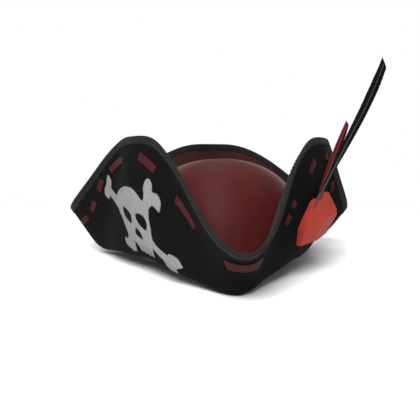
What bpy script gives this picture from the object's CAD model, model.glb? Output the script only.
import math
import random

import bmesh
import bpy
import numpy as np
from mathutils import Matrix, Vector
from mathutils.bvhtree import BVHTree


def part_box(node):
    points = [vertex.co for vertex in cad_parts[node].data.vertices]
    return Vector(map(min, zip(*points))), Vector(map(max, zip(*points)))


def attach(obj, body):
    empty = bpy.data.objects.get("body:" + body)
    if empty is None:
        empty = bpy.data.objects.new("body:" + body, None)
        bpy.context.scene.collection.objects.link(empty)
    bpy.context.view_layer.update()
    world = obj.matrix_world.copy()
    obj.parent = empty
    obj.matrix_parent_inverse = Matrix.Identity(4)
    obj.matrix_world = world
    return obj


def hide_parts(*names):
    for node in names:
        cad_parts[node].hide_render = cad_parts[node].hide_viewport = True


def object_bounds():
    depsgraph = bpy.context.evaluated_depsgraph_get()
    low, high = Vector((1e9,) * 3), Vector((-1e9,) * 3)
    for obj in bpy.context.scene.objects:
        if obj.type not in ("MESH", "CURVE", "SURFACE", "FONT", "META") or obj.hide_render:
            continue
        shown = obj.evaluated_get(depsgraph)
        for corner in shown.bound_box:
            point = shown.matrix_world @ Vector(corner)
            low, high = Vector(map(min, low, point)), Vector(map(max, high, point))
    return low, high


# A tricorn pirate hat. Metres; the front panel faces -Y and the gem is on the +X side.
# Angles round the hat ("phi") start at the middle of the front panel and grow towards +X.
# Depth is measured from the brim's black outer face into the hat.

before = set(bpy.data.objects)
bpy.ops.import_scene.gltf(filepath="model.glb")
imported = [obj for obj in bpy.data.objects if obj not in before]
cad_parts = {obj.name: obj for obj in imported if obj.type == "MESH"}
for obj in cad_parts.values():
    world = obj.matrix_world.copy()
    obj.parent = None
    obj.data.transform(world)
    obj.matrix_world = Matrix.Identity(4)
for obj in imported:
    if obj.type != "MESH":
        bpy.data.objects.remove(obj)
CAD_LOW, CAD_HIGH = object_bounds()
MM = 0.001
HAT = "hat"

# ---- brim: the same cross-section as the CAD's; its shape is in millimetres ----------------
ROOT_RADIUS = 98.2 * MM
OUT_SHARPNESS = 0.442       # how suddenly the rim runs out to a corner
OUT_POWERS = (1.774, 8.38)
DROP_SHARPNESS = 0.424      # how suddenly it drops to a corner
DROP_POWERS = (1.75, 6.84)
FOLD_POWER = 0.835
# The brim is hand-shaped, so each size varies a little round the hat. Each is a
# mean, a share that goes with cos(phi) and a share that goes with sin(phi).
PEAK_RADIUS = (117.4, -2.6, 4.2)        # rim at the middle of a turned-up panel
PEAK_HEIGHT = (128.4, 2.0, 2.0)
CORNER_RADIUS = (210.8, -0.2, -8.4)     # rim at a folded corner
CORNER_HEIGHT = (34.0, 0.3, -4.2)
# handles of the brim's cross-section, as far as they lie outwards and upwards
PANEL_ROOT_PULL = ((10.2, 1.5, -0.3), (4.2, -3.8, 2.4))
PANEL_RIM_PULL = ((11.2, 0.3, 0.6), (-49.2, -5.5, 1.2))
CORNER_ROOT_PULL = ((68.3, 12.7, -4.1), (-23.0, -16.9, -10.2))
CORNER_RIM_PULL = ((-52.3, 2.9, -5.9), (-43.4, 7.7, 14.4))
ROOT_BLEND = 0.12
FELT = 2.2 * MM
FACING_DEPTH = 2.25 * MM
FACING = 0.5 * MM
BINDING_START = 0.958
BINDING = 0.4 * MM
BINDING_GAP = 0.1 * MM
WOBBLE = 0.45 * MM          # unevenness of hand-blocked felt
RING_STEPS = 432
CLOTH_ROUND = 0.16          # metres of weave for each radian round the brim
CLOTH_ACROSS = 0.13         # metres of weave from the crown to the rim
BINDING_STITCH = 5.2 * MM

# lacing dashes, as in the CAD: (phi from the middle of the panel in degrees, distance from
# the rim) of both ends, the sag of the middle towards the rim, and the width, in millimetres
LACE_THICKNESS = 1.1 * MM
FRONT_DASHES = [(-55.5, 26.8, -50.1, 29.2, 0, 8), (-47.9, 29.7, -45.1, 23.4, 0, 8),
                (-42.4, 19.6, -38.6, 13.1, 0, 8), (-32.9, 15.8, -12.1, 22.4, 0, 8),
                (8.2, 18.4, 21.5, 28.2, 0, 9), (34.0, 36.4, 45.3, 33.4, 0, 9),
                (55.3, 27.5, 67.0, 38.0, 8, 13)]
RIGHT_DASHES = [(-35.8, 62.2, -31.4, 57.9, 0, 8), (-30.7, 54.4, -27.5, 50.1, 0, 8),
                (-17.4, 33.8, -13.3, 19.8, 0, 8), (-2.5, 17.4, 3.1, 24.2, 0, 8),
                (39.5, 12.0, 43.0, 19.0, 0, 8)]
LEFT_DASHES = [(-50.0, 31.0, -39.0, 24.0, 0, 8), (-32.0, 17.0, -19.0, 22.0, 0, 8),
               (-11.0, 23.0, 3.0, 18.0, 0, 8), (10.0, 18.0, 23.0, 24.0, 0, 8),
               (29.0, 28.0, 36.0, 21.0, 0, 8), (43.0, 24.0, 52.0, 31.0, 0, 8)]

# emblem: the CAD's outlines, in millimetres, in the front panel's x and z
SKULL_SIDES = [(-22.6, 11.8), (-23.2, 16.4), (-22.1, 20.1), (-17.5, 23.0), (-16.2, 27.5),
               (-18.6, 31.1), (-21.5, 35.9), (-26.5, 41.7), (-36.0, 48.2), (-44.0, 54.5),
               (-50.5, 62.9), (-49.0, 68.7), (-38.1, 74.3), (-15.2, 78.3), (-0.7, 78.6),
               (8.3, 76.5), (15.5, 71.9), (20.4, 67.3), (24.7, 64.9), (29.2, 62.0),
               (32.6, 57.8), (32.4, 51.9), (33.2, 44.8), (35.1, 37.5), (35.7, 31.8),
               (37.1, 25.4), (37.4, 21.3), (36.1, 17.5)]
SKULL_TEETH = [(36.1, 17.5), (34.6, 7.8), (32.2, 8.6), (29.6, 16.5), (27.8, 16.5),
               (28.2, 8.8), (23.6, 9.2), (20.6, 16.8), (18.8, 16.8), (19.6, 9.4),
               (14.6, 10.2), (12.0, 17.2), (10.2, 17.2), (11.0, 10.6), (6.4, 11.2),
               (1.6, 17.0), (-5.1, 20.3), (-6.6, 13.8), (-9.1, 3.7), (-13.0, 5.8),
               (-18.4, 10.0), (-22.6, 11.8)]
SKULL_HOLES = [[(-22.1, 56.4), (-12.3, 55.2), (-2.5, 51.2), (0.5, 45.4), (-3.0, 39.5),
                (-11.1, 41.8), (-19.5, 46.1), (-25.7, 51.6)],
               [(9.9, 50.9), (18.0, 52.0), (25.3, 48.5), (29.3, 42.5), (27.0, 35.3),
                (20.1, 37.0), (13.0, 41.2), (9.2, 46.0)],
               [(6.6, 35.9), (12.1, 34.0), (16.5, 29.7), (18.0, 24.6), (10.2, 25.4),
                (2.7, 28.2), (2.9, 32.0)]]
BONES = [[(-35.3, 58.6), (-50.9, 65.0), (-63.0, 68.3), (-72.4, 73.3), (-71.7, 76.6),
          (-70.8, 81.9), (-72.8, 86.1), (-75.5, 88.8), (-79.1, 84.6), (-81.3, 79.8),
          (-83.7, 76.1), (-87.1, 72.4), (-88.5, 68.4), (-88.3, 64.2), (-83.9, 60.8),
          (-80.2, 60.4), (-76.2, 63.6), (-68.3, 60.4), (-56.5, 57.0), (-44.1, 53.1)],
         [(18.7, 68.0), (23.4, 65.4), (25.3, 68.5), (26.2, 72.5), (25.5, 77.6),
          (26.6, 82.6), (29.1, 87.0), (32.7, 88.7), (36.1, 86.4), (38.0, 82.1),
          (38.3, 75.6), (44.3, 73.7), (47.9, 70.3), (49.9, 65.0), (49.6, 59.6),
          (48.1, 55.6), (45.4, 57.3), (42.3, 59.5), (38.8, 61.4), (36.0, 60.6),
          (32.8, 57.3), (27.4, 57.5)],
         [(29.5, 24.9), (36.9, 26.1), (42.2, 22.0), (50.8, 17.8), (60.4, 13.7),
          (61.4, 15.8), (68.4, 14.9), (74.7, 11.9), (77.9, 7.6), (79.1, 4.3),
          (74.8, 3.1), (69.4, 1.0), (67.7, -4.2), (60.8, -3.0), (57.1, 0.9),
          (54.3, 4.6), (52.9, 8.0), (46.0, 11.8), (36.6, 18.0), (30.5, 20.8)],
         [(-11.0, 25.4), (-17.1, 24.2), (-21.3, 21.2), (-24.1, 20.2), (-26.5, 21.8),
          (-28.2, 19.6), (-28.0, 15.7), (-23.6, 11.6), (-17.1, 11.5)]]

# plumes: the same lines as the CAD's quills
PLUME_FACING = 105.0
PLUME_ENTRY = Vector((121.5, 37.1, 67.0)) * MM
QUILL_DEPTH = 12.0 * MM
BLACK_ENTRY = (-3.1 * MM, 0.0, 1.35 * MM)
BLACK_ANGLE = 43.1
BLACK_RUNS = [(62, 0), (60, -1.3), (60, 6), (26, 2.6)]
RED_ENTRY = (1.3 * MM, 0.0, -1.35 * MM)
RED_ANGLE = 50.8
RED_RUNS = [(60, 0.9), (38, 0)]


# ---- small tools -------------------------------------------------------------------------
def lerp(start, end, share):
    return start + (end - start) * share


def unit(vectors):
    return vectors / np.maximum(np.linalg.norm(vectors, axis=-1, keepdims=True), 1e-12)


def smooth_share(x, low, high):
    t = np.clip((x - low) / (high - low), 0, 1)
    return t * t * (3 - 2 * t)


def turns(count):
    """Evenly spaced angles of a full turn."""
    return np.linspace(0, 2 * np.pi, count, endpoint=False)


def round_point(radius, angle, height):
    return np.array([radius * math.cos(angle), radius * math.sin(angle), height])


def squarer(wave, power):
    """A sine or cosine with fuller shoulders, for a power under 1."""
    return np.sign(wave) * np.abs(wave) ** power


def run_length(points):
    """Length of a line up to each of its points."""
    return np.concatenate([[0], np.cumsum(np.linalg.norm(np.diff(points, axis=0), axis=1))])


def uv_pairs(along, across):
    return np.stack(np.broadcast_arrays(along, across), -1).reshape(-1, 2)


def shaped(size, phi):
    return (size[0] + size[1] * np.cos(phi) + size[2] * np.sin(phi)) * MM


def brim_bare(phi, v):
    """Points of the black outer face, before its unevenness."""
    fold = (1 - np.cos(3 * phi)) / 2
    out = lerp(fold ** OUT_POWERS[0], fold ** OUT_POWERS[1], OUT_SHARPNESS)
    drop = lerp(fold ** DROP_POWERS[0], fold ** DROP_POWERS[1], DROP_SHARPNESS)
    rim = (lerp(shaped(PEAK_RADIUS, phi), shaped(CORNER_RADIUS, phi), out),
           lerp(shaped(PEAK_HEIGHT, phi), shaped(CORNER_HEIGHT, phi), drop))
    share = fold ** FOLD_POWER
    root = (ROOT_RADIUS, 0.0)
    place = []
    for i in (0, 1):
        lower = root[i] + lerp(shaped(PANEL_ROOT_PULL[i], phi),
                               shaped(CORNER_ROOT_PULL[i], phi), share)
        upper = rim[i] + lerp(shaped(PANEL_RIM_PULL[i], phi),
                              shaped(CORNER_RIM_PULL[i], phi), share)
        place.append((1 - v) ** 3 * root[i] + 3 * v * (1 - v) ** 2 * lower
                     + 3 * v * v * (1 - v) * upper + v ** 3 * rim[i])
    angle = phi - np.pi / 2
    return np.stack([place[0] * np.cos(angle), place[0] * np.sin(angle), place[1]], -1)


def brim_directions(phi, v):
    """Unit vectors along the rim, towards the rim and into the hat."""
    step = 1e-4
    along = unit(brim_bare(phi + step, v) - brim_bare(phi - step, v))
    slope = unit(brim_bare(phi, v + step) - brim_bare(phi, v - step))
    inward = unit(np.cross(slope, along))
    share = smooth_share(v, 0.0, ROOT_BLEND)[..., None]
    inward = unit(np.array([0.0, 0.0, 1.0]) * (1 - share) + inward * share)
    return along, np.cross(along, inward), inward


def wobble(phi, v):
    """Slow unevenness of the felt, none where the brim meets the crown."""
    waves = (np.sin(5 * phi + 7 * v + 0.6) + np.sin(11 * phi - 9 * v + 2.1) * 0.6
             + np.sin(17 * phi + 4 * v + 4.0) * 0.35 + np.sin(8 * phi - 15 * v + 1.0) * 0.4)
    return WOBBLE * 0.5 * waves * smooth_share(v, 0.05, 0.35)


def brim(phi, v, depth):
    phi, v, depth = np.broadcast_arrays(phi, v, depth)
    inward = brim_directions(phi, v)[2]
    return brim_bare(phi, v) + inward * (depth + wobble(phi, v))[..., None]


def past_rim(phi, beyond, depth):
    """Points off the rim: beyond it along the cross-section, and deep into the hat."""
    phi, beyond, depth = np.broadcast_arrays(phi, beyond, depth)
    v = np.ones_like(phi)
    _, outward, inward = brim_directions(phi, v)
    return (brim_bare(phi, v) + outward * beyond[..., None]
            + inward * (depth + wobble(phi, v))[..., None])


def share_at(phi, from_rim):
    """Share of the cross-section at a distance from the rim, measured along it."""
    count = 80
    v = np.linspace(1, 0, count)
    reach = run_length(brim_bare(np.full(count, phi), v))
    return float(np.interp(from_rim, reach, v))


def add_object(name, data):
    made = bpy.data.objects.new(name, data)
    bpy.context.scene.collection.objects.link(made)
    return made


def mesh_object(name, points, faces, uvs=None):
    """Mesh from points (n, 3), faces as lists of indices, and one uv for each point."""
    mesh = bpy.data.meshes.new(name)
    mesh.from_pydata(np.asarray(points).tolist(), [], [list(map(int, f)) for f in faces])
    if uvs is not None:
        loops = np.empty(len(mesh.loops), np.int32)
        mesh.loops.foreach_get("vertex_index", loops)
        layer = mesh.uv_layers.new(name="UVMap")
        layer.data.foreach_set("uv", np.asarray(uvs)[loops].astype(np.float32).ravel())
    mesh.update()
    mesh.polygons.foreach_set("use_smooth", np.ones(len(mesh.polygons), bool))
    return add_object(name, mesh)


def grid_faces(rows, columns, closed_rows, closed_columns):
    """Quads between neighbouring points of a rows x columns grid."""
    row = np.arange(rows if closed_rows else rows - 1)[:, None]
    column = np.arange(columns if closed_columns else columns - 1)[None, :]
    next_row, next_column = (row + 1) % rows, (column + 1) % columns
    quads = np.stack(np.broadcast_arrays(row * columns + column, next_row * columns + column,
                                         next_row * columns + next_column,
                                         row * columns + next_column), -1)
    return quads.reshape(-1, 4)


def capped_faces(rows, sides):
    """Faces of a closed tube of rings, which two end points follow."""
    faces = grid_faces(rows, sides, False, True).tolist()
    last = (rows - 1) * sides
    for i in range(sides):
        j = (i + 1) % sides
        faces += [[rows * sides, i, j], [rows * sides + 1, last + j, last + i]]
    return faces


def solid(name, points, faces, uvs):
    """Closed mesh with its faces turned outwards."""
    piece = mesh_object(name, points, faces, uvs)
    work = bmesh.new()
    work.from_mesh(piece.data)
    bmesh.ops.recalc_face_normals(work, faces=work.faces)
    work.to_mesh(piece.data)
    work.free()
    return piece


def closed_ring(name, points, along, across):
    """Ring solid from a grid of section loops: points (round, loop, 3), uv from lengths."""
    rounds, loop = points.shape[:2]
    return solid(name, points.reshape(-1, 3), grid_faces(rounds, loop, True, True),
                 uv_pairs(along[:, None], across[None, :]))


class Heap:
    """Collects many small closed meshes into one piece."""

    def __init__(self):
        self.points, self.faces, self.uvs, self.count = [], [], [], 0

    def add(self, points, faces, uvs=None):
        points = np.asarray(points).reshape(-1, 3)
        self.points.append(points)
        self.faces += [[int(i) + self.count for i in f] for f in faces]
        self.uvs.append(np.zeros((len(points), 2)) if uvs is None else uvs)
        self.count += len(points)

    def build(self, name):
        return solid(name, np.concatenate(self.points), self.faces, np.concatenate(self.uvs))


def tube_points(path, radii, sides, across=None):
    """Section rings round a path (n, 3); across fixes where each ring starts."""
    path = np.asarray(path, float)
    tangent = unit(np.gradient(path, axis=0))
    if across is None:
        across = np.cross(tangent, [0.0, 0.0, 1.0])
        weak = np.linalg.norm(across, axis=1) < 0.2
        across[weak] = np.cross(tangent[weak], [1.0, 0.0, 0.0])
    across = unit(across - tangent * np.sum(across * tangent, axis=1, keepdims=True))
    other = np.cross(tangent, across)
    angle = turns(sides)
    radii = np.broadcast_to(radii, len(path))[:, None, None]
    ring = (across[:, None] * np.cos(angle)[None, :, None]
            + other[:, None] * np.sin(angle)[None, :, None])
    return path[:, None] + ring * radii


def add_tube(heap, path, radii, sides, across=None):
    """Closed tube."""
    rings = tube_points(path, radii, sides, across)
    points = np.concatenate([rings.reshape(-1, 3), [rings[0].mean(0), rings[-1].mean(0)]])
    heap.add(points, capped_faces(len(rings), sides))


def add_stitch(heap, start, end, lift, radius):
    """Short thread that rises by lift, a vector, between two points."""
    share = np.linspace(0, 1, 5)[:, None]
    add_tube(heap, start + (end - start) * share + lift * np.sin(np.pi * share), radius, 5)


# ---- materials ---------------------------------------------------------------------------
class Surface:
    """Node material: colour, roughness and bump are built up from procedural textures."""

    def __init__(self, name, roughness=0.8, **settings):
        self.material = bpy.data.materials.new(name)
        self.material.use_nodes = True
        self.tree = self.material.node_tree
        self.shader = self.tree.nodes["Principled BSDF"]
        self.shader.inputs["Roughness"].default_value = roughness
        for key, value in settings.items():
            self.shader.inputs[key.replace("_", " ")].default_value = value
        self.place = self.tree.nodes.new("ShaderNodeTexCoord")
        self.bump_from = None

    def node(self, kind, **settings):
        made = self.tree.nodes.new("ShaderNode" + kind)
        for key, value in settings.items():
            if key in made.inputs:
                made.inputs[key].default_value = value
            else:
                setattr(made, key, value)
        return made

    def link(self, source, target):
        self.tree.links.new(source, target)

    def noise(self, scale, detail=4.0, space="Object", stretch=None, distortion=0.0):
        texture = self.node("TexNoise", Scale=scale, Detail=detail, Distortion=distortion)
        self.link(self.coords(space, stretch), texture.inputs["Vector"])
        return texture.outputs["Fac"]

    def threads(self, scale, direction):
        """Slightly uneven bands across the piece's uv."""
        texture = self.node("TexWave", Scale=scale, Distortion=0.15, bands_direction=direction)
        self.link(self.place.outputs["UV"], texture.inputs["Vector"])
        return texture.outputs["Fac"]

    def coords(self, space, stretch=None):
        source = self.place.outputs[space]
        if stretch is None:
            return source
        mapping = self.node("Mapping")
        mapping.inputs["Scale"].default_value = stretch
        self.link(source, mapping.inputs["Vector"])
        return mapping.outputs["Vector"]

    def ramp(self, source, stops):
        """Colours or greys along a factor; stops are (position, colour)."""
        made = self.node("ValToRGB")
        ramp = made.color_ramp
        while len(ramp.elements) < len(stops):
            ramp.elements.new(0.5)
        for element, (position, colour) in zip(ramp.elements, stops):
            element.position = position
            if not hasattr(colour, "__len__"):
                colour = (colour, colour, colour)
            element.color = (*colour, 1.0)
        self.link(source, made.inputs["Fac"])
        return made.outputs["Color"]

    def multiply(self, first, second, share):
        """One colour multiplied by another, by a share."""
        made = self.node("Mix", data_type="RGBA", blend_type="MULTIPLY")
        made.inputs[0].default_value = share
        self.link(first, made.inputs[6])
        self.link(second, made.inputs[7])
        return made.outputs[2]

    def product(self, first, second):
        made = self.node("Math", operation="MULTIPLY")
        self.link(first, made.inputs[0])
        self.link(second, made.inputs[1])
        return made.outputs[0]

    def colour(self, source):
        self.link(source, self.shader.inputs["Base Color"])

    def rough(self, source, low, high):
        self.link(self.ramp(source, [(0.25, low), (0.75, high)]), self.shader.inputs["Roughness"])

    def bump(self, source, distance, strength=1.0):
        """Adds a relief; several bumps add up."""
        made = self.node("Bump", Distance=distance, Strength=strength)
        self.link(source, made.inputs["Height"])
        if self.bump_from is not None:
            self.link(self.bump_from, made.inputs["Normal"])
        self.bump_from = made.outputs["Normal"]
        self.link(self.bump_from, self.shader.inputs["Normal"])


def felt_surface(name, dark, light, fuzz, sheen=0.012, specular=0.03):
    """Pressed wool: cloudy colour, short fibres lying every way, and a soft fuzz."""
    felt = Surface(name, 0.9, Specular_IOR_Level=specular, Sheen_Weight=sheen,
                   Sheen_Roughness=0.45, Sheen_Tint=(*fuzz, 1.0))
    clouds = felt.noise(26.0, 5.0)
    fibres = felt.noise(900.0, 6.0, distortion=1.6)
    specks = felt.noise(2600.0, 2.0)
    base = felt.ramp(clouds, [(0.3, dark), (0.7, light)])
    streaks = felt.ramp(fibres, [(0.42, 0.72), (0.62, 1.3)])
    felt.colour(felt.multiply(base, streaks, 0.75))
    felt.rough(clouds, 0.84, 0.97)
    felt.bump(fibres, 0.35 * MM, 0.55)
    felt.bump(specks, 0.12 * MM, 0.4)
    return felt.material


def weave_surface(name, dark, light, thread, rough, relief, sheen=0.15, specular=0.3, cloud=40.0,
                  rib=(1.0, 1.0)):
    """Plain weave over the piece's own lengths: thread is its spacing in metres."""
    cloth = Surface(name, rough, Specular_IOR_Level=specular, Sheen_Weight=sheen,
                    Sheen_Roughness=0.4)
    period = 2 * math.pi / 20 / thread
    grid = cloth.product(cloth.threads(period * rib[0], "X"), cloth.threads(period * rib[1], "Y"))
    clouds = cloth.noise(cloud, 5.0)
    slubs = cloth.noise(420.0, 3.0, space="UV", stretch=(1.0, 8.0, 1.0))
    base = cloth.ramp(clouds, [(0.3, dark), (0.7, light)])
    shade = cloth.ramp(grid, [(0.05, 0.78), (0.6, 1.12)])
    base = cloth.multiply(base, shade, 0.7)
    streaks = cloth.ramp(slubs, [(0.35, 0.88), (0.7, 1.08)])
    cloth.colour(cloth.multiply(base, streaks, 0.6))
    cloth.rough(clouds, max(0.0, rough - 0.06), min(1.0, rough + 0.06))
    cloth.bump(grid, relief, 0.6)
    cloth.bump(slubs, relief, 0.25)
    return cloth.material


def leather_surface(name, dark, light):
    hide = Surface(name, 0.5, Specular_IOR_Level=0.4)
    cells = hide.node("TexVoronoi", Scale=700.0)
    hide.link(hide.coords("Object"), cells.inputs["Vector"])
    clouds = hide.noise(45.0, 6.0)
    creases = hide.noise(160.0, 5.0, distortion=2.0)
    base = hide.ramp(clouds, [(0.3, dark), (0.72, light)])
    pores = hide.ramp(cells.outputs["Distance"], [(0.05, 0.7), (0.45, 1.05)])
    hide.colour(hide.multiply(base, pores, 0.6))
    hide.rough(creases, 0.42, 0.62)
    hide.bump(cells.outputs["Distance"], 0.18 * MM, 0.5)
    hide.bump(creases, 0.3 * MM, 0.35)
    return hide.material


def gem_surface(name):
    """Moulded red resin with faint flow clouds and fine dust."""
    stone = Surface(name, 0.4, Specular_IOR_Level=0.02, Subsurface_Weight=0.04,
                    Subsurface_Scale=0.003)
    clouds = stone.noise(55.0, 5.0, distortion=1.2)
    dust = stone.noise(1300.0, 3.0)
    base = stone.ramp(clouds, [(0.3, (0.24, 0.028, 0.020)), (0.7, (0.30, 0.036, 0.026))])
    speck = stone.ramp(dust, [(0.4, 0.93), (0.62, 1.04)])
    stone.colour(stone.multiply(base, speck, 0.6))
    stone.rough(clouds, 0.3, 0.44)
    stone.bump(dust, 0.05 * MM, 0.25)
    stone.bump(clouds, 0.4 * MM, 0.12)
    return stone.material


def plastic_surface(name, colour, roughness=0.5):
    """Moulded plastic with a fine spark-eroded grain."""
    shell = Surface(name, roughness, Specular_IOR_Level=0.4)
    grain = shell.noise(1800.0, 3.0)
    clouds = shell.noise(60.0, 4.0)
    lighter = tuple(min(1.0, c * 1.35 + 0.004) for c in colour)
    shell.colour(shell.ramp(clouds, [(0.35, colour), (0.7, lighter)]))
    shell.rough(grain, roughness - 0.08, roughness + 0.1)
    shell.bump(grain, 0.08 * MM, 0.4)
    return shell.material


def metal_surface(name, colour, roughness):
    """Turned or drawn metal with fine tool lines and some tarnish."""
    metal = Surface(name, roughness, Metallic=1.0)
    lines = metal.noise(1.0, 3.0, stretch=(30.0, 30.0, 900.0))
    tarnish = metal.noise(140.0, 6.0)
    darker = tuple(c * 0.55 for c in colour)
    metal.colour(metal.ramp(tarnish, [(0.35, colour), (0.75, darker)]))
    metal.rough(tarnish, roughness, min(1.0, roughness + 0.25))
    metal.bump(lines, 0.05 * MM, 0.35)
    return metal.material


def feather_surface(name, dark, light, rough):
    """Matte barbs with fine lines along each one, which their uv follows."""
    barbs = Surface(name, rough, Specular_IOR_Level=0.0)
    strands = barbs.noise(30.0, 3.0, space="UV", stretch=(0.35, 18.0, 1.0))
    clouds = barbs.noise(70.0, 4.0)
    base = barbs.ramp(clouds, [(0.3, dark), (0.7, light)])
    shade = barbs.ramp(strands, [(0.35, 0.65), (0.65, 1.3)])
    barbs.colour(barbs.multiply(base, shade, 0.8))
    barbs.rough(strands, rough - 0.08, rough + 0.15)
    barbs.bump(strands, 0.12 * MM, 0.5)
    return barbs.material


def thread_surface(name, colour):
    """Twisted sewing thread."""
    thread = Surface(name, 0.75, Specular_IOR_Level=0.12, Sheen_Weight=0.03)
    twist = thread.noise(2400.0, 2.0, distortion=0.6)
    darker = tuple(c * 0.6 for c in colour)
    thread.colour(thread.ramp(twist, [(0.35, darker), (0.65, colour)]))
    thread.bump(twist, 0.1 * MM, 0.6)
    return thread.material


def paint(piece, material, body=HAT, replaces=()):
    """Gives a finished piece its material, record slot and body."""
    piece.data.materials.clear()
    piece.data.materials.append(material)
    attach(piece, body)
    if replaces:
        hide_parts(*replaces)
    return piece


# ---- brim --------------------------------------------------------------------------------
def ring_angles():
    return turns(RING_STEPS)


def rim_length():
    rim = brim_bare(ring_angles(), 1.0)
    return np.linalg.norm(np.roll(rim, -1, axis=0) - rim, axis=1).sum()


def felt_brim():
    phi = ring_angles()[:, None]
    leg = np.linspace(0, 1, 90)[None, :]
    turn = np.linspace(-np.pi / 2, np.pi / 2, 9)[None, 1:-1]
    outer = brim(phi, leg, 0.0)
    edge = past_rim(phi, 0.4 * MM * np.cos(turn), FELT / 2 * (1 + np.sin(turn)))
    inner = brim(phi, leg[:, ::-1], FELT)
    points = np.concatenate([outer, edge, inner], axis=1)
    across = np.concatenate([leg[0], np.full(turn.shape[1], 1.0), leg[0, ::-1]]) * CLOTH_ACROSS
    return closed_ring("brim_felt_blocked", points, ring_angles() * CLOTH_ROUND, across)


def brim_facing():
    """Cloth lining of the brim, with small puckers that gather into the three corners."""
    phi = ring_angles()[:, None]
    leg = np.linspace(0, 1, 110)[None, :]
    fold = (1 - np.cos(3 * phi)) / 2
    gather = 0.35 * MM * fold * smooth_share(leg, 0.0, 0.12) * (1 - smooth_share(leg, 0.55, 0.95))
    pucker = gather * (np.sin(phi * 57 + 3 * np.sin(phi * 5) + leg * 3) ** 2)
    near = brim(phi, leg, FACING_DEPTH)
    far = brim(phi, leg, FACING_DEPTH + FACING * 0.75 + pucker)
    points = np.concatenate([near, far[:, ::-1]], axis=1)
    across = np.concatenate([leg[0], leg[0, ::-1]]) * CLOTH_ACROSS
    return closed_ring("brim_facing_cloth", points, ring_angles() * CLOTH_ROUND, across)


def binding_ribbon():
    """Ribbon folded over the rim, with gently waving edges."""
    phi = ring_angles()[:, None]
    near = -BINDING_GAP
    far = FACING_DEPTH + FACING + BINDING_GAP
    middle, radius = (near + far) / 2, (far - near) / 2
    leg = np.linspace(0, 1, 14)[None, :]
    turn = np.linspace(-np.pi / 2, np.pi / 2, 13)[None, 1:-1]
    scallop = 0.004 * np.sin(phi * 92)
    v = BINDING_START + scallop * (1 - leg) + (1 - BINDING_START) * leg
    swell = 0.05 * MM * np.sin(np.pi * np.clip(leg * 1.1, 0, 1))
    parts = [brim(phi, v, near + 0 * leg),
             past_rim(phi, radius * np.cos(turn), middle + radius * np.sin(turn)),
             brim(phi, v[:, ::-1], far + 0 * leg),
             brim(phi, v, far + BINDING * 0.85 + swell),
             past_rim(phi, (radius + BINDING) * np.cos(turn[:, ::-1]),
                      middle + (radius + BINDING) * np.sin(turn[:, ::-1])),
             brim(phi, v[:, ::-1], near - BINDING * 0.85 - swell[:, ::-1])]
    points = np.concatenate(parts, axis=1)
    step = np.linalg.norm(np.diff(points[0], axis=0, prepend=points[0, :1]), axis=1)
    along = ring_angles() / (2 * np.pi) * rim_length()
    return closed_ring("edge_binding_ribbon", points, along, np.cumsum(step))


def binding_stitches():
    """Two rows of machine stitches, one on each face of the ribbon."""
    heap = Heap()
    count = int(rim_length() / BINDING_STITCH)
    row_share = BINDING_START + 0.012
    far = FACING_DEPTH + FACING + BINDING_GAP + BINDING
    for depth, way in ((-BINDING_GAP - BINDING, -1), (far, 1)):
        for i in range(count):
            phi = 2 * np.pi * np.array([i + 0.16, i + 0.84]) / count
            ends = brim(phi, row_share, depth - way * 0.1 * MM)
            lift = brim_directions(phi[:1], np.array([row_share]))[2][0] * (way * 0.35 * MM)
            add_stitch(heap, ends[0], ends[1], lift, 0.24 * MM)
    return heap.build("binding_stitches")


def root_stitches():
    """Slanted hand stitches that hold the brim to the crown, round the headline."""
    heap = Heap()
    count = 118
    for i in range(count):
        angle = 2 * np.pi * i / count
        slant = 0.55 * 2 * np.pi / count
        start = round_point(ROOT_RADIUS, angle, 3.2 * MM)
        end = round_point(ROOT_RADIUS + 2.6 * MM, angle + slant, 4.3 * MM)
        add_stitch(heap, start, end, np.array([0, 0, 0.5 * MM]), 0.3 * MM)
    return heap.build("headline_stitches")


# ---- lacing ------------------------------------------------------------------------------
def lace_dash(heap, panel, dash):
    """Flat braided lace that comes out of the felt, runs over it and goes back in."""
    start_phi, start_reach, end_phi, end_reach, sag, wide = dash
    steps, sides = 72, 24
    share = np.linspace(0, 1, steps)
    phi = np.radians(panel + lerp(start_phi, end_phi, share))
    reach = (lerp(start_reach, end_reach, share) - 4 * sag * share * (1 - share)) * MM
    v = np.array([share_at(p, r) for p, r in zip(phi, reach)])
    line = brim_bare(phi, v)
    inward = brim_directions(phi, v)[2]
    sideways = unit(np.cross(unit(np.gradient(line, axis=0)), inward))
    run = run_length(line)
    length = run[-1]
    dive = 1 - smooth_share(np.minimum(run, length - run), 0.0, 2.8 * MM)
    bow = 0.25 * MM * np.sin(np.pi * share)
    centre = brim(phi, v, -0.12 * MM - LACE_THICKNESS / 2 - bow + dive * 2.2 * MM)
    width = wide * MM / 2 * (1 - 0.3 * dive)
    angle = turns(sides)
    across = squarer(np.cos(angle), 0.6)
    height = squarer(np.sin(angle), 0.8)
    side = across[None, :] * width[:, None]
    along = run[:, None]
    pitch = 2.6 * MM
    braid = (np.sin(2 * np.pi * (along + side) / pitch)
             * np.sin(2 * np.pi * (along - side) / pitch))
    thick = LACE_THICKNESS / 2 * (1 + 0.2 * braid) * height[None, :]
    points = (centre[:, None] + sideways[:, None] * side[..., None]
              - inward[:, None] * thick[..., None])
    uvs = uv_pairs(along, side)
    ends = np.stack([points[0].mean(0), points[-1].mean(0)])
    heap.add(np.concatenate([points.reshape(-1, 3), ends]), capped_faces(steps, sides),
             np.concatenate([uvs, [[0, 0], [0, 0]]]))


def lacing(name, panel, dashes):
    heap = Heap()
    for dash in dashes:
        lace_dash(heap, panel, dash)
    return heap.build(name)


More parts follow.
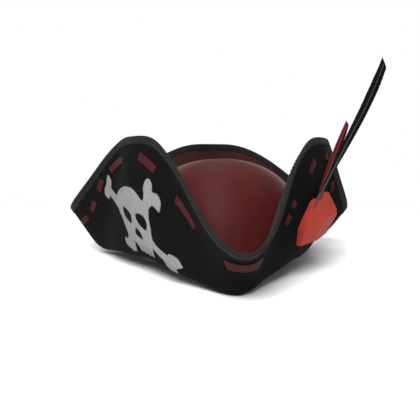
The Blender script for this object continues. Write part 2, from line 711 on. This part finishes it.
# ---- crown -------------------------------------------------------------------------------
CROWN_WALL = 14.0 * MM
DOME_FULLNESS = 2.3
DOME_FLATTENING = 4.0 * MM      # the dome rises by this much less than its radius
COVER_RADII = (97.75 * MM, 96.4 * MM)       # outside and inside, at the base
LINING_RADII = (95.1 * MM, 94.5 * MM)
BAND_DOME = 94.4 * MM           # base radius of the dome that the sweatband follows
BAND_RADIUS = 93.7 * MM         # middle of the sweatband's leather


def dome_point(radius, angle, share):
    """Point on a straight wall with a full dome on it; share 0 to 1 goes from base to top."""
    wall = 0.09
    turn = np.clip((share - wall) / (1 - wall), 0, 1) * np.pi / 2
    out = radius * np.maximum(np.cos(turn), 0) ** (2 / DOME_FULLNESS)
    height = (CROWN_WALL * np.minimum(share / wall, 1)
              + (radius - DOME_FLATTENING) * np.sin(turn) ** (2 / DOME_FULLNESS))
    return np.stack([out * np.cos(angle), out * np.sin(angle), height + 0 * out], -1)


def dome_radius(radius, height):
    """Radius at a height of the dome that starts with the given radius."""
    rise = np.clip((height - CROWN_WALL) / (radius - DOME_FLATTENING), 0, 1)
    return radius * (1 - rise ** DOME_FULLNESS) ** (1 / DOME_FULLNESS)


def dome_sheet(name, outer, inner, relief_out, relief_in, steps=(288, 110)):
    """Closed dome shell; the reliefs are functions of angle and share, in metres."""
    angle = turns(steps[0])[:, None]
    share = np.linspace(0, 1, steps[1])[None, :-1]
    outside = dome_point(outer + relief_out(angle, share), angle, share)
    inside = dome_point(inner + relief_in(angle, share), angle, share)
    rows = np.concatenate([outside, inside[:, ::-1]], axis=1)
    rounds, loop = rows.shape[:2]
    half = loop // 2
    tops = [(0.0, 0.0, CROWN_WALL + radius - DOME_FLATTENING) for radius in (outer, inner)]
    points = np.concatenate([rows.reshape(-1, 3), tops])
    quads = [q for q in grid_faces(rounds, loop, True, True).tolist()
             if {q[0] % loop, q[3] % loop} != {half - 1, half}]
    for i in range(rounds):
        j = (i + 1) % rounds
        quads.append([i * loop + half - 1, j * loop + half - 1, rounds * loop])
        quads.append([j * loop + half, i * loop + half, rounds * loop + 1])
    meridian = (outer * np.pi / 2 + CROWN_WALL) * np.concatenate([share[0], share[0, ::-1]])
    uvs = uv_pairs(angle * outer, meridian[None, :])
    top = [0.0, meridian.max()]
    return solid(name, points, quads, np.concatenate([uvs, [top, top]]))


def crown_satin():
    """Satin stretched over the dome, with faint drags that rise from the headline."""
    def drags(angle, share):
        low = 1 - smooth_share(share, 0.05, 0.5)
        return 0.16 * MM * low * np.sin(angle * 41 + 2.2 * np.sin(angle * 6)) * (
            0.6 + 0.4 * np.sin(angle * 9 + 1)) + 0.12 * MM * np.sin(angle * 4 + share * 9)
    return dome_sheet("crown_cover_satin", *COVER_RADII, drags,
                      lambda angle, share: 0 * angle * share)


def crown_lining():
    """Lining cloth, pleated above the sweatband and gathered to the middle of the top."""
    def pleats(angle, share):
        depth = 1.5 * MM * smooth_share(share, 0.2, 0.45)
        depth = depth * (1 - 0.6 * smooth_share(share, 0.8, 1.0))
        return -depth * np.abs(np.sin(angle * 22 + 0.5 * np.sin(angle * 3))) ** 0.7
    return dome_sheet("crown_lining_cloth", *LINING_RADII, pleats, pleats, (704, 90))


def sweatband():
    """Leather band with rounded edges that wave a little."""
    loop, angle = turns(64), turns(360)[:, None]
    low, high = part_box("sweatband")
    middle, half = (low.z + high.z) / 2, (high.z - low.z) / 2 - 0.15 * MM
    up, out = squarer(np.sin(loop), 0.35), squarer(np.cos(loop), 0.35)
    height = middle + half * up[None, :] + 0.25 * MM * np.sin(angle * 7) * (up[None, :] > 0.8)
    radius = (dome_radius(BAND_DOME, height) - 0.68 * MM + 0.6 * MM * out[None, :]
              + 0.05 * MM * np.sin(angle * 13 + up * 3))
    points = np.stack([radius * np.cos(angle), radius * np.sin(angle), height + 0 * radius], -1)
    return closed_ring("sweatband_leather", points, angle[:, 0] * BAND_RADIUS, half * up)


def sweatband_stitches():
    """Two rows of thread round the band and a zigzag at the back, where a seam would be."""
    heap = Heap()
    count = 150
    for height in (2.6 * MM, 33.0 * MM):
        radius = dome_radius(BAND_DOME, height) - 1.35 * MM
        for i in range(count):
            angles = 2 * np.pi * (np.array([i + 0.15, i + 0.85])) / count
            ends = [round_point(radius, angle, height) for angle in angles]
            inward = -round_point(1, angles[0], 0) * 0.2 * MM
            add_stitch(heap, ends[0], ends[1], inward, 0.2 * MM)
    zigs = 12
    radius = 93.05 * MM
    for i in range(zigs):
        ends = []
        for k, side in enumerate([(-1) ** i, -(-1) ** i]):
            ends.append(round_point(radius, math.pi / 2 + side * 0.02,
                                    (4.0 + (i + k) * 2.25) * MM))
        add_stitch(heap, ends[0], ends[1], np.array([0, -0.2 * MM, 0]), 0.2 * MM)
    return heap.build("sweatband_stitches")


# ---- emblem ------------------------------------------------------------------------------
def smooth_line(points, closed):
    """Smooth line through the points (Catmull-Rom)."""
    if closed:
        p = np.array([points[-1]] + points + points[:2], float)
    else:
        p = np.array([points[0]] + points + [points[-1]], float)
    t = np.linspace(0, 1, 8, endpoint=False)[:, None]
    out = []
    for a, b, c, d in zip(p, p[1:], p[2:], p[3:]):
        out.append(0.5 * (2 * b + (c - a) * t + (2 * a - 5 * b + 4 * c - d) * t ** 2
                          + (3 * b - a - 3 * c + d) * t ** 3))
    return np.concatenate(out)


def inside(points, outline):
    """Which points lie in a closed outline."""
    x, z = points[:, 0], points[:, 1]
    result = np.zeros(len(points), bool)
    for (x0, z0), (x1, z1) in zip(outline, np.roll(outline, -1, axis=0)):
        if z0 == z1:
            continue
        crosses = (z0 > z) != (z1 > z)
        result ^= crosses & (x < x0 + (z - z0) * (x1 - x0) / (z1 - z0))
    return result


def edge_distance(points, outline):
    """Distance from each point to the nearest stretch of the outline."""
    best = np.full(len(points), 1e9)
    for a, b in zip(outline, np.roll(outline, -1, axis=0)):
        d = b - a
        t = np.clip(((points - a) @ d) / max(d @ d, 1e-12), 0, 1)[:, None]
        best = np.minimum(best, np.linalg.norm(points - a - t * d, axis=1))
    return best


def field_of(points, outer, holes=()):
    """Signed distance, positive inside the patch."""
    distance = edge_distance(points, outer) * np.where(inside(points, outer), 1, -1)
    for hole in holes:
        cut = edge_distance(points, hole) * np.where(inside(points, hole), -1, 1)
        distance = np.minimum(distance, cut)
    return distance


class Panel:
    """Finds places on the outside of the front panel from its x and z."""

    def __init__(self):
        phi = np.radians(np.linspace(-62, 62, 200))[:, None]
        v = np.linspace(0.2, 0.985, 120)[None, :]
        points = brim(phi, v, 0.0)
        faces = grid_faces(200, 120, False, False)
        self.tree = BVHTree.FromPolygons(points.reshape(-1, 3).tolist(), faces.tolist())
        normals = -brim_directions(*np.broadcast_arrays(phi, v))[2]
        self.normals = normals.reshape(-1, 3)
        self.faces = faces
        self.points = points.reshape(-1, 3)

    def place(self, spot, lift):
        """Point on the panel at (x, z) in millimetres, lifted off it by metres."""
        x, z = spot * MM
        hit, _, face, _ = self.tree.ray_cast(Vector((x, -1.0, z)), Vector((0, 1, 0)))
        if hit is None:
            hit, _, face, _ = self.tree.find_nearest(Vector((x, -0.13, z)))
        corners = self.faces[face]
        away = np.linalg.norm(self.points[corners] - np.array(hit), axis=1)
        weight = 1 / np.maximum(away, 1e-6)
        normal = unit((self.normals[corners] * weight[:, None]).sum(0))
        return np.array(hit) + normal * lift


def felt_patch(name, panel, field, box, step, base, thick):
    """Felt cut-out with a rounded, slightly pressed edge; field gives signed distance in mm."""
    xs = np.arange(box[0], box[2] + step, step)
    zs = np.arange(box[1], box[3] + step, step)
    grid = np.stack(np.meshgrid(xs, zs, indexing="ij"), -1).reshape(-1, 2)
    distance = field(grid).reshape(len(xs), len(zs))
    grid = grid.reshape(len(xs), len(zs), 2)
    keep = distance > -0.72 * step
    gradient = unit(np.stack(np.gradient(distance, step), -1))
    snapped = grid.copy()
    near = (distance < 0.72 * step) & keep
    snapped[near] = grid[near] - gradient[near] * distance[near][:, None]
    inner = np.where(near, 0.0, np.maximum(distance, 0.0))
    cells = keep[:-1, :-1] & keep[1:, :-1] & keep[1:, 1:] & keep[:-1, 1:]
    used = np.zeros(keep.shape, bool)
    for i, j in ((0, 0), (1, 0), (1, 1), (0, 1)):
        used[i:i + cells.shape[0], j:j + cells.shape[1]] |= cells
    index = -np.ones(keep.shape, int)
    index[used] = np.arange(used.sum())
    quads = np.stack([index[:-1, :-1][cells], index[1:, :-1][cells], index[1:, 1:][cells],
                      index[:-1, 1:][cells]], -1)
    flat, rise = snapped[used], inner[used]
    round_off = np.sqrt(np.clip(1 - (1 - np.clip(rise / 0.9, 0, 1)) ** 2, 0, 1))
    fluff = 0.05 * MM * (np.sin(flat[:, 0] * 1.9) + np.sin(flat[:, 1] * 2.3 + flat[:, 0]))
    top = base + thick * (0.35 + 0.65 * round_off) + fluff * round_off
    upper = np.array([panel.place(spot, lift) for spot, lift in zip(flat, top)])
    lower = np.array([panel.place(spot, base) for spot in flat])
    count = len(flat)
    edges = {}
    for quad in quads:
        for a, b in zip(quad, np.roll(quad, -1)):
            edges[(a, b)] = edges.get((a, b), 0) + 1
    rim = [(a, b) for a, b in edges if (b, a) not in edges]
    faces = quads[:, ::-1].tolist() + (quads + count).tolist()
    faces += [[a, b, b + count, a + count] for a, b in rim]
    return solid(name, np.concatenate([upper, lower]), faces, np.concatenate([flat, flat]) * MM)


STITCH_SPACING = 4.6            # of the emblem's hand stitches, in millimetres
STITCH_REACH = (1.7, 0.7)       # how far they go onto the patch and onto the brim


def edge_stitches(heap, panel, outline, covered, lift):
    """Short thread bites over the edge of a patch, square to it."""
    closed = np.concatenate([outline, outline[:1]])
    length = run_length(closed)

    def point_at(s):
        return np.array([np.interp(s, length, closed[:, i]) for i in (0, 1)])

    count = max(3, int(length[-1] / STITCH_SPACING))
    for s in (np.arange(count) + 0.5) * length[-1] / count:
        place = point_at(s)
        way = unit(point_at((s + 0.4) % length[-1]) - place)
        side = np.array([-way[1], way[0]])
        if covered((place + side * 0.8)[None])[0] < covered((place - side * 0.8)[None])[0]:
            side = -side
        if covered((place + side * 0.6)[None])[0] < 0.05:
            continue
        inner, outer = place + side * STITCH_REACH[0], place - side * STITCH_REACH[1]
        start = panel.place(inner, lift - 0.1 * MM)
        end = panel.place(outer, -0.1 * MM)
        up = panel.place(place, lift) - panel.place(place, 0.0)
        add_stitch(heap, start, end, unit(up) * 0.65 * MM, 0.2 * MM)


# ---- ornament ----------------------------------------------------------------------------
def bevelled_copy(node, name, width, segments=3):
    """The CAD node's shape with its flat faces whole again and its edges rounded."""
    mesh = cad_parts[node].data.copy()
    piece = add_object(name, mesh)
    work = bmesh.new()
    work.from_mesh(mesh)
    bmesh.ops.remove_doubles(work, verts=work.verts, dist=0.02 * MM)
    bmesh.ops.dissolve_limit(work, angle_limit=math.radians(1.0), verts=work.verts,
                             edges=work.edges)
    sharp = [e for e in work.edges if e.is_manifold and e.calc_face_angle(0) > math.radians(7)]
    bmesh.ops.bevel(work, geom=sharp, offset=width, segments=segments, profile=0.6,
                    affect="EDGES", clamp_overlap=True)
    bmesh.ops.triangulate(work, faces=[f for f in work.faces if len(f.verts) > 4])
    bmesh.ops.recalc_face_normals(work, faces=work.faces)
    work.to_mesh(mesh)
    work.free()
    mesh.polygons.foreach_set("use_smooth", np.ones(len(mesh.polygons), bool))
    mesh.set_sharp_from_angle(angle=math.radians(4))
    return piece


# ---- plumes ------------------------------------------------------------------------------
BARB_STEPS = np.linspace(0, 1, 8)
BARB_OVERLAP = 1.25
GROUP_SPLAY = 0.006     # radians by which groups of zipped barbs part
VANE_FALL = 0.022       # how steeply both halves of a vane fall away


class Plume:
    """A quill's line in its upright plane: x rearward, y up, z away from the hat."""

    def __init__(self, entry, angle, runs):
        turn = math.radians(PLUME_FACING - 90)
        self.axes = np.array([[-math.sin(turn), math.cos(turn), 0], [0, 0, 1],
                              [math.cos(turn), math.sin(turn), 0]])
        self.entry = np.array(entry)
        self.level = entry[2]
        self.heading = math.radians(angle)
        self.runs = [(length * MM, math.radians(sweep)) for length, sweep in runs]

    def at(self, s):
        """(x, y) of the line in its plane and its heading, s metres past the socket."""
        point, heading = self.entry[:2].copy(), self.heading
        for length, sweep in self.runs:
            go = min(s, length) if s < length or (length, sweep) != self.runs[-1] else s
            part = sweep * go / length
            middle = heading + part / 2
            chord = go if abs(part) < 1e-9 else go * math.sin(part / 2) / (part / 2)
            point = point + chord * np.array([math.cos(middle), math.sin(middle)])
            heading += part
            s -= go
            if s <= 0:
                break
        return point, heading

    def place(self, flat, level):
        """Points of the scene from points of the plane and their height off it."""
        flat = np.atleast_2d(flat)
        level = np.broadcast_to(level, len(flat))
        return (np.array(PLUME_ENTRY) + flat[:, :1] * self.axes[0] + flat[:, 1:2] * self.axes[1]
                + (level + self.level)[:, None] * self.axes[2])


def tapered_quill(name, plume, end, thick, thin):
    """Quill: a blunt round foot in the socket, then a shaft that tapers to its tip."""
    heap = Heap()
    lengths = np.linspace(-QUILL_DEPTH, end, 90)
    foot = np.array([math.cos(plume.heading), math.sin(plume.heading)])
    flat = np.array([plume.entry[:2] + foot * s if s < 0 else plume.at(s)[0] for s in lengths])
    share = np.clip(lengths / end, 0, 1)
    radii = thick + (thin - thick) * share ** 0.8
    radii[0] *= 0.45
    radii[1] *= 0.85
    radii[-1] *= 0.3
    add_tube(heap, plume.place(flat, 0.0), radii, 12, across=np.tile(plume.axes[2], (90, 1)))
    return heap.build(name)


def barb_vane(name, plume, widths, tip, barbs, angle, curl, seed):
    """Vane of separate barbs on both sides of the quill, zipped into groups.
    widths: (length along the quill, front half-width, rear half-width) in millimetres; tip:
    where the end is cut off, in millimetres; curl: share of its opening that a barb loses."""
    draw = random.Random(seed)
    heap = Heap()
    table = np.array(widths, float) * MM
    start, stop = table[0, 0], table[-1, 0]
    spacing = (stop - start) / (barbs - 1)
    for side, column in ((1, 1), (-1, 2)):
        lean, group_left = 0.0, 0
        for i in range(barbs):
            if group_left == 0:
                group_left = draw.randint(6, 18)
                lean = draw.uniform(-1, 1) * GROUP_SPLAY
            group_left -= 1
            s = start + spacing * i
            root, heading = plume.at(s)
            opening = math.radians(angle) * (1 - 0.12 * smooth_share(s, stop * 0.85, stop))
            length = float(np.interp(s, table[:, 0], table[:, column])) / math.sin(opening)
            left = max((tip * MM - s) / math.cos(opening), 1.5 * MM)
            length = min(length, left) * draw.uniform(0.97, 1.01)
            bends = side * (opening * (1.1 - curl * BARB_STEPS) + lean * BARB_STEPS)
            half = spacing * math.sin(opening) * BARB_OVERLAP
            add_barb(heap, plume, root, heading + bends, length, half, i)
    return heap.build(name)


def add_barb(heap, plume, root, bend, length, half, index):
    """One barb: a thin tapered blade from the quill, along the given headings."""
    steps = len(bend)
    step = length / (steps - 1)
    x = root[0] + np.concatenate([[0], np.cumsum(np.cos(bend[:-1]) * step)])
    y = root[1] + np.concatenate([[0], np.cumsum(np.sin(bend[:-1]) * step)])
    flat = np.stack([x, y], -1)
    normal = np.stack([-np.sin(bend), np.cos(bend)], -1)
    half = half * (1 - 0.45 * BARB_STEPS ** 3)
    out = np.linalg.norm(flat - root, axis=1)
    level = -VANE_FALL * out + 0.05 * MM * ((index % 3) - 1)
    thick = 0.11 * MM
    rows = np.stack([plume.place(flat + normal * half[:, None], level),
                     plume.place(flat, level + thick),
                     plume.place(flat - normal * half[:, None], level + 0.04 * MM),
                     plume.place(flat, level - thick)], 1)
    faces = grid_faces(steps, 4, False, True).tolist()
    faces += [[3, 2, 1, 0], [(steps - 1) * 4 + k for k in range(4)]]
    uvs = np.stack([np.repeat(BARB_STEPS * length / MM, 4),
                    np.tile([1.0, 0.5, 0.0, 0.5], steps) + index * 1.37], -1)
    heap.add(rows.reshape(-1, 3), faces, uvs)


# ---- stage -------------------------------------------------------------------------------
CAMERA_PLACE = (0.4974, -0.3606, 0.1129)
CAMERA_BACK = (0.8165, -0.5675, 0.1063)     # direction from the hat towards the camera
CAMERA_LENS = 44.57                         # millimetres, on a 36 mm sensor
BACKDROP = (-0.816, 0.567, 0.106)           # direction of the white backdrop
ROOM_LIGHT = 0.38
FLOOR_RADIUS = 0.85


def aim(thing, place, way):
    """Puts a camera or lamp at a place and points it along way."""
    thing.location = place
    thing.rotation_mode = "QUATERNION"
    thing.rotation_quaternion = way.to_track_quat("-Z", "Y")


def camera():
    data = bpy.data.cameras.new("camera")
    data.lens = CAMERA_LENS
    data.sensor_width = 36.0
    eye = add_object("camera", data)
    aim(eye, CAMERA_PLACE, -Vector(CAMERA_BACK).normalized())
    bpy.context.scene.camera = eye


def area_light(name, place, target, size, power):
    data = bpy.data.lights.new(name, "AREA")
    data.shape = "DISK"
    data.size = size
    data.energy = power
    aim(add_object(name, data), place, Vector(target) - Vector(place))


def world_nodes(tree):
    """Soft grey room with a white backdrop behind the hat."""
    sky = tree.nodes["Background"]
    sky.inputs["Color"].default_value = (1.0, 1.0, 1.0, 1.0)
    place = tree.nodes.new("ShaderNodeTexCoord")
    facing = tree.nodes.new("ShaderNodeVectorMath")
    facing.operation = "DOT_PRODUCT"
    facing.inputs[1].default_value = BACKDROP
    blend = tree.nodes.new("ShaderNodeMapRange")
    for name, value in (("From Min", 0.55), ("From Max", 0.8), ("To Min", ROOM_LIGHT),
                        ("To Max", 1.0)):
        blend.inputs[name].default_value = value
    tree.links.new(place.outputs["Generated"], facing.inputs[0])
    tree.links.new(facing.outputs["Value"], blend.inputs["Value"])
    tree.links.new(blend.outputs["Result"], sky.inputs["Strength"])


def studio():
    """Pale floor, grey room and two soft lamps, the main one in front and above."""
    level = CAD_LOW.z - 0.2 * MM
    edge = [round_point(FLOOR_RADIUS, angle, level) for angle in turns(96)]
    floor = mesh_object("floor", edge, [list(range(96))])
    paper = Surface("floor_paper", 0.95, Specular_IOR_Level=0.0)
    grain = paper.noise(3.0, 2.0)
    paper.colour(paper.ramp(grain, [(0.3, 0.92), (0.7, 0.93)]))
    floor.data.materials.append(paper.material)
    world = bpy.data.worlds.new("studio")
    world.use_nodes = True
    world_nodes(world.node_tree)
    bpy.context.scene.world = world
    bpy.context.scene.view_settings.view_transform = "Standard"
    centre = (0.0, 0.0, 0.05)
    area_light("key", (0.74, -0.74, 0.95), centre, 0.9, 34.0)
    area_light("top", (-0.3, 0.3, 1.7), centre, 2.2, 12.0)


# ---- build -------------------------------------------------------------------------------
def build_brim():
    black_felt = felt_surface("black_felt", (0.0029, 0.0029, 0.0030), (0.0046, 0.0046, 0.0047),
                              (0.5, 0.5, 0.5))
    paint(felt_brim(), black_felt, replaces=["brim_felt"])
    maroon = weave_surface("maroon_cloth", (0.026, 0.0085, 0.0072), (0.036, 0.0120, 0.0102),
                           0.55 * MM, 0.85, 0.12 * MM, sheen=0.02, specular=0.08)
    facing = paint(brim_facing(), maroon, replaces=["brim_facing"])
    ribbon_cloth = weave_surface("grosgrain_ribbon", (0.0075, 0.0073, 0.0070),
                                 (0.0115, 0.0112, 0.0107), 0.7 * MM, 0.8, 0.18 * MM, sheen=0.02,
                                 specular=0.08, rib=(1.0, 0.25))
    ribbon = paint(binding_ribbon(), ribbon_cloth, replaces=["edge_binding"])
    black_thread = thread_surface("black_thread", (0.014, 0.0137, 0.013))
    paint(binding_stitches(), black_thread)
    red_thread = thread_surface("maroon_thread", (0.06, 0.016, 0.015))
    paint(root_stitches(), red_thread)


def build_lacing():
    lace = weave_surface("red_lace", (0.034, 0.0060, 0.0072), (0.048, 0.0090, 0.0104), 0.5 * MM,
                         0.85, 0.12 * MM, sheen=0.02, specular=0.08)
    for side, panel, dashes in (("front", 0, FRONT_DASHES), ("right", 120, RIGHT_DASHES),
                                ("left", 240, LEFT_DASHES)):
        paint(lacing(side + "_lacing_braid", panel, dashes), lace,
              replaces=[side + "_lacing"])


def build_crown():
    satin = weave_surface("red_satin", (0.047, 0.0070, 0.0070), (0.057, 0.0088, 0.0088), 0.35 * MM,
                          0.50, 0.035 * MM, sheen=0.0, specular=0.06, cloud=14.0, rib=(1.0, 0.5))
    satin.node_tree.nodes["Principled BSDF"].inputs["Anisotropic"].default_value = 0.8
    satin.node_tree.nodes["Principled BSDF"].inputs["Anisotropic Rotation"].default_value = 0.25
    cover = paint(crown_satin(), satin, replaces=["crown_cover"])
    lining_cloth = weave_surface("black_lining", (0.020, 0.018, 0.020), (0.032, 0.030, 0.032),
                                 0.4 * MM, 0.5, 0.05 * MM, sheen=0.3, specular=0.5)
    lining = paint(crown_lining(), lining_cloth, replaces=["crown_lining"])
    hide = leather_surface("brown_leather", (0.060, 0.028, 0.016), (0.105, 0.052, 0.030))
    band = paint(sweatband(), hide, replaces=["sweatband"])
    tan_thread = thread_surface("tan_thread", (0.30, 0.20, 0.11))
    paint(sweatband_stitches(), tan_thread)


def build_emblem():
    panel = Panel()
    grey_felt = felt_surface("grey_felt", (0.158, 0.158, 0.157), (0.192, 0.192, 0.190),
                              (0.9, 0.9, 0.9), sheen=0.05, specular=0.15)
    outer = np.concatenate([smooth_line(SKULL_SIDES, False), np.array(SKULL_TEETH[:-1])])
    holes = [smooth_line(hole, True) for hole in SKULL_HOLES]
    bone_lines = [smooth_line(bone, True) for bone in BONES]

    def skull_field(points):
        return field_of(points, outer, holes)

    def bones_field(points):
        bones = np.max([field_of(points, line) for line in bone_lines], axis=0)
        return np.minimum(bones, -field_of(points, outer))

    skull = felt_patch("skull_felt", panel, skull_field, (-53, 2, 39, 81), 0.55, 0.15 * MM,
                       1.0 * MM)
    bones = felt_patch("crossbones_felt", panel, bones_field, (-91, -6, 81, 91), 0.65,
                       0.15 * MM, 0.8 * MM)
    for piece, node, width, height in ((skull, "skull_patch", 0.089, 0.076),
                                       (bones, "crossbone_patches", 0.050, 0.085)):
        paint(piece, grey_felt, replaces=[node])
    grey_thread = thread_surface("grey_thread", (0.22, 0.22, 0.218))
    heap = Heap()
    for line in [outer] + holes:
        edge_stitches(heap, panel, line, skull_field, 1.0 * MM)
    for line in bone_lines:
        edge_stitches(heap, panel, line, bones_field, 0.8 * MM)
    paint(heap.build("emblem_stitches"), grey_thread)


def build_ornament():
    gem = bevelled_copy("gem", "gem_stone", 0.7 * MM)
    resin = gem_surface("red_resin")
    paint(gem, resin, replaces=["gem"])
    black_plastic = plastic_surface("black_plastic", (0.018, 0.018, 0.019))
    paint(bevelled_copy("gem_backing", "gem_backing_moulded", 0.25 * MM, 2), black_plastic,
          replaces=["gem_backing"])
    paint(bevelled_copy("plume_socket", "plume_socket_moulded", 0.15 * MM, 2), resin,
          replaces=["plume_socket"])
    brass = metal_surface("brass", (0.62, 0.44, 0.20), 0.28)
    for node in ("ornament_nut", "ornament_washer", "ornament_post"):
        paint(bevelled_copy(node, node + "_turned", 0.18 * MM, 2), brass,
              replaces=[node])


def build_plumes():
    black = Plume(BLACK_ENTRY, BLACK_ANGLE, BLACK_RUNS)
    red = Plume(RED_ENTRY, RED_ANGLE, RED_RUNS)
    black_shaft = plastic_surface("black_quill_horn", (0.016, 0.016, 0.015), 0.6)
    red_shaft = plastic_surface("red_quill_horn", (0.090, 0.013, 0.014), 0.5)
    black_barbs = feather_surface("black_barbs", (0.0055,) * 3, (0.0085,) * 3, 0.7)
    red_barbs = feather_surface("red_barbs", (0.075, 0.0100, 0.0110), (0.110, 0.0150, 0.0165), 0.7)
    paint(tapered_quill("black_quill_shaft", black, 223 * MM, 1.0 * MM, 0.6 * MM), black_shaft,
          "black_plume", ["black_quill"])
    paint(tapered_quill("red_quill_shaft", red, 101 * MM, 1.0 * MM, 0.3 * MM), red_shaft,
          "red_plume", ["red_quill"])
    black_widths = [(6, 2.2, 0.7), (15, 3.6, 2.3), (30, 5.0, 2.9), (50, 5.9, 4.6), (75, 7.0, 7.1),
                    (100, 8.0, 8.4), (125, 9.4, 8.9), (150, 10.4, 9.6), (175, 10.1, 10.7),
                    (190, 9.2, 10.3), (208, 8.8, 9.8), (224, 9.4, 2.6)]
    red_widths = [(5, 2.8, 0.6), (13, 4.6, 2.9), (25, 5.6, 3.4), (40, 6.2, 4.3), (55, 6.4, 5.1),
                  (70, 5.8, 5.8), (85, 5.1, 6.1), (98, 4.2, 4.0), (102, 3.2, 2.6)]
    paint(barb_vane("black_plume_barbs", black, black_widths, 226, 230, 32, 0.35, 11),
          black_barbs, "black_plume", ["black_vane"])
    paint(barb_vane("red_plume_barbs", red, red_widths, 103.5, 110, 36, 0.2, 5),
          red_barbs, "red_plume", ["red_vane"])


def build_hidden():
    """CAD nodes that stay as they are: the foundation, the reed and the rim wire."""
    kept = {"crown_foundation": weave_surface("buckram", (0.34, 0.30, 0.22), (0.44, 0.40, 0.31),
                                              1.1 * MM, 0.9, 0.3 * MM),
            "sweatband_reed": plastic_surface("reed_plastic", (0.030, 0.028, 0.028), 0.45),
            "rim_wire": metal_surface("steel_wire", (0.42, 0.42, 0.43), 0.35)}
    for node, material in kept.items():
        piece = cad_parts[node]
        piece.data.materials.clear()
        piece.data.materials.append(material)


camera()
build_brim()
build_lacing()
build_crown()
build_emblem()
build_ornament()
build_plumes()
build_hidden()
studio()
